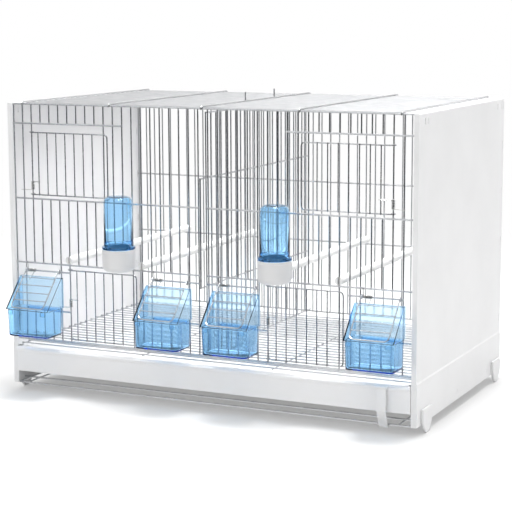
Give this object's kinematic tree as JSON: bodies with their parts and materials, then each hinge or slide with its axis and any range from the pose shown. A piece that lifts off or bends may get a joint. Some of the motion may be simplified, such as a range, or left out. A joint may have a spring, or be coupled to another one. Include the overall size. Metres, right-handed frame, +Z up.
{
  "type": "bird breeding cage",
  "caption": "Wide wire breeding cage for small birds with solid side panels, hinged doors, outside seed feeders, drinkers, a sliding divider and a pull-out tray.",
  "frame": {"origin": "centre of the bounding box, on the surface that the feet stand on", "axes": "+X to the cage's right as seen from the front, -Y towards the viewer at the front, +Z up"},
  "size_m": [0.5956, 0.391, 0.4106],
  "materials": {
    "zinc_wire": "bright zinc plating",
    "spring_wire": "bright",
    "white_plastic": "satin white",
    "pale_plastic": "satin, very pale grey",
    "clear_blue_plastic": "clear light blue",
    "perch_plastic": "matte white"
  },
  "bodies": {
    "cage": {"front_left_grid": "zinc_wire", "front_right_grid": "zinc_wire", "back_grid": "zinc_wire", "roof_grid": "zinc_wire", "roof_peg_1": "zinc_wire", "roof_peg_2": "zinc_wire", "base_frame": "zinc_wire", "left_side_panel": "white_plastic", "right_side_panel": "white_plastic", "foot_front_left": "white_plastic", "foot_rear_left": "white_plastic", "foot_front_right": "white_plastic", "foot_rear_right": "white_plastic", "perch_1": "perch_plastic", "perch_2": "perch_plastic", "perch_3": "perch_plastic", "perch_4": "perch_plastic", "flap_spring_1": "spring_wire", "flap_spring_2": "spring_wire", "flap_spring_3": "spring_wire", "flap_spring_4": "spring_wire", "upper_left_door_spring": "spring_wire", "upper_right_door_spring": "spring_wire", "lower_left_door_spring": "spring_wire", "lower_right_door_spring": "spring_wire"},
    "upper_left_door": {"upper_left_door": "zinc_wire"},
    "upper_right_door": {"upper_right_door": "zinc_wire"},
    "lower_left_door": {"lower_left_door": "zinc_wire"},
    "lower_right_door": {"lower_right_door": "zinc_wire"},
    "feeder_1": {"feeder_1_trough": "clear_blue_plastic", "feeder_1_hood": "clear_blue_plastic"},
    "flap_1": {"feeder_flap_1": "zinc_wire"},
    "feeder_2": {"feeder_2_trough": "clear_blue_plastic", "feeder_2_hood": "clear_blue_plastic"},
    "flap_2": {"feeder_flap_2": "zinc_wire"},
    "feeder_3": {"feeder_3_trough": "clear_blue_plastic", "feeder_3_hood": "clear_blue_plastic"},
    "flap_3": {"feeder_flap_3": "zinc_wire"},
    "feeder_4": {"feeder_4_trough": "clear_blue_plastic", "feeder_4_hood": "clear_blue_plastic"},
    "flap_4": {"feeder_flap_4": "zinc_wire"},
    "left_cup": {"left_drinker_cup": "white_plastic"},
    "left_tube": {"left_drinker_tube": "clear_blue_plastic"},
    "right_cup": {"right_drinker_cup": "white_plastic"},
    "right_tube": {"right_drinker_tube": "clear_blue_plastic"},
    "tray": {"tray": "pale_plastic"},
    "latch": {"tray_latch": "pale_plastic"},
    "floor_grille": {"floor_grille": "zinc_wire"},
    "divider": {"divider": "zinc_wire"}
  },
  "joints": [
    {"name": "upper_left_door_hinge", "type": "hinge", "parent": "cage", "child": "upper_left_door", "pos_m": [-0.259, -0.14852, 0.3163], "axis": [0, 0, -1], "range_deg": [0, 110], "stiffness_Nm_per_rad": 0.004, "springref_deg": -17.19, "deforming": ["upper_left_door_spring"]},
    {"name": "upper_right_door_hinge", "type": "hinge", "parent": "cage", "child": "upper_right_door", "pos_m": [0.259, -0.14852, 0.3163], "axis": [0, 0, 1], "range_deg": [0, 110], "stiffness_Nm_per_rad": 0.004, "springref_deg": -17.19, "deforming": ["upper_right_door_spring"]},
    {"name": "lower_left_door_hinge", "type": "hinge", "parent": "cage", "child": "lower_left_door", "pos_m": [-0.203, -0.14852, 0.12675], "axis": [0, 0, -1], "range_deg": [0, 90], "stiffness_Nm_per_rad": 0.004, "springref_deg": -17.19, "deforming": ["lower_left_door_spring"]},
    {"name": "lower_right_door_hinge", "type": "hinge", "parent": "cage", "child": "lower_right_door", "pos_m": [0.091, -0.14852, 0.12675], "axis": [0, 0, -1], "range_deg": [0, 90], "stiffness_Nm_per_rad": 0.004, "springref_deg": -17.19, "deforming": ["lower_right_door_spring"]},
    {"name": "feeder_1_slide", "type": "slide", "parent": "cage", "child": "feeder_1", "axis": [0, -1, 0], "range_m": [0, 0.043]},
    {"name": "flap_1_hinge", "type": "hinge", "parent": "cage", "child": "flap_1", "pos_m": [-0.245, -0.15043, 0.17], "axis": [-1, 0, 0], "range_deg": [0, 109.7], "deforming": ["flap_spring_1"]},
    {"name": "feeder_2_slide", "type": "slide", "parent": "cage", "child": "feeder_2", "axis": [0, -1, 0], "range_m": [0, 0.043]},
    {"name": "flap_2_hinge", "type": "hinge", "parent": "cage", "child": "flap_2", "pos_m": [-0.049, -0.15043, 0.17], "axis": [-1, 0, 0], "range_deg": [0, 109.7], "deforming": ["flap_spring_2"]},
    {"name": "feeder_3_slide", "type": "slide", "parent": "cage", "child": "feeder_3", "axis": [0, -1, 0], "range_m": [0, 0.043]},
    {"name": "flap_3_hinge", "type": "hinge", "parent": "cage", "child": "flap_3", "pos_m": [0.049, -0.15043, 0.17], "axis": [-1, 0, 0], "range_deg": [0, 109.7], "deforming": ["flap_spring_3"]},
    {"name": "feeder_4_slide", "type": "slide", "parent": "cage", "child": "feeder_4", "axis": [0, -1, 0], "range_m": [0, 0.043]},
    {"name": "flap_4_hinge", "type": "hinge", "parent": "cage", "child": "flap_4", "pos_m": [0.245, -0.15043, 0.17], "axis": [-1, 0, 0], "range_deg": [0, 109.7], "deforming": ["flap_spring_4"]},
    {"name": "left_cup_slide", "type": "slide", "parent": "cage", "child": "left_cup", "axis": [0, -1, 0], "range_m": [0, 0.06]},
    {"name": "left_tube_lift", "type": "slide", "parent": "left_cup", "child": "left_tube", "axis": [0, 0, 1], "range_m": [0, 0.045]},
    {"name": "right_cup_slide", "type": "slide", "parent": "cage", "child": "right_cup", "axis": [0, -1, 0], "range_m": [0, 0.06]},
    {"name": "right_tube_lift", "type": "slide", "parent": "right_cup", "child": "right_tube", "axis": [0, 0, 1], "range_m": [0, 0.045]},
    {"name": "tray_slide", "type": "slide", "parent": "cage", "child": "tray", "axis": [0, -1, 0], "range_m": [0, 0.33]},
    {"name": "latch_hinge", "type": "hinge", "parent": "tray", "child": "latch", "pos_m": [0.25, -0.16153, 0.0609], "axis": [-1, 0, 0], "range_deg": [0, 80]},
    {"name": "floor_grille_slide", "type": "slide", "parent": "cage", "child": "floor_grille", "axis": [0, -1, 0], "range_m": [0, 0.33]},
    {"name": "divider_slide", "type": "slide", "parent": "cage", "child": "divider", "axis": [0, -1, 0], "range_m": [0, 0.33]}
  ],
  "couplings": [
    {"joint": "flap_1_hinge", "follows": "feeder_1_slide", "rad_per_m": 44.5},
    {"joint": "flap_2_hinge", "follows": "feeder_2_slide", "rad_per_m": 44.5},
    {"joint": "flap_3_hinge", "follows": "feeder_3_slide", "rad_per_m": 44.5},
    {"joint": "flap_4_hinge", "follows": "feeder_4_slide", "rad_per_m": 44.5}
  ]
}
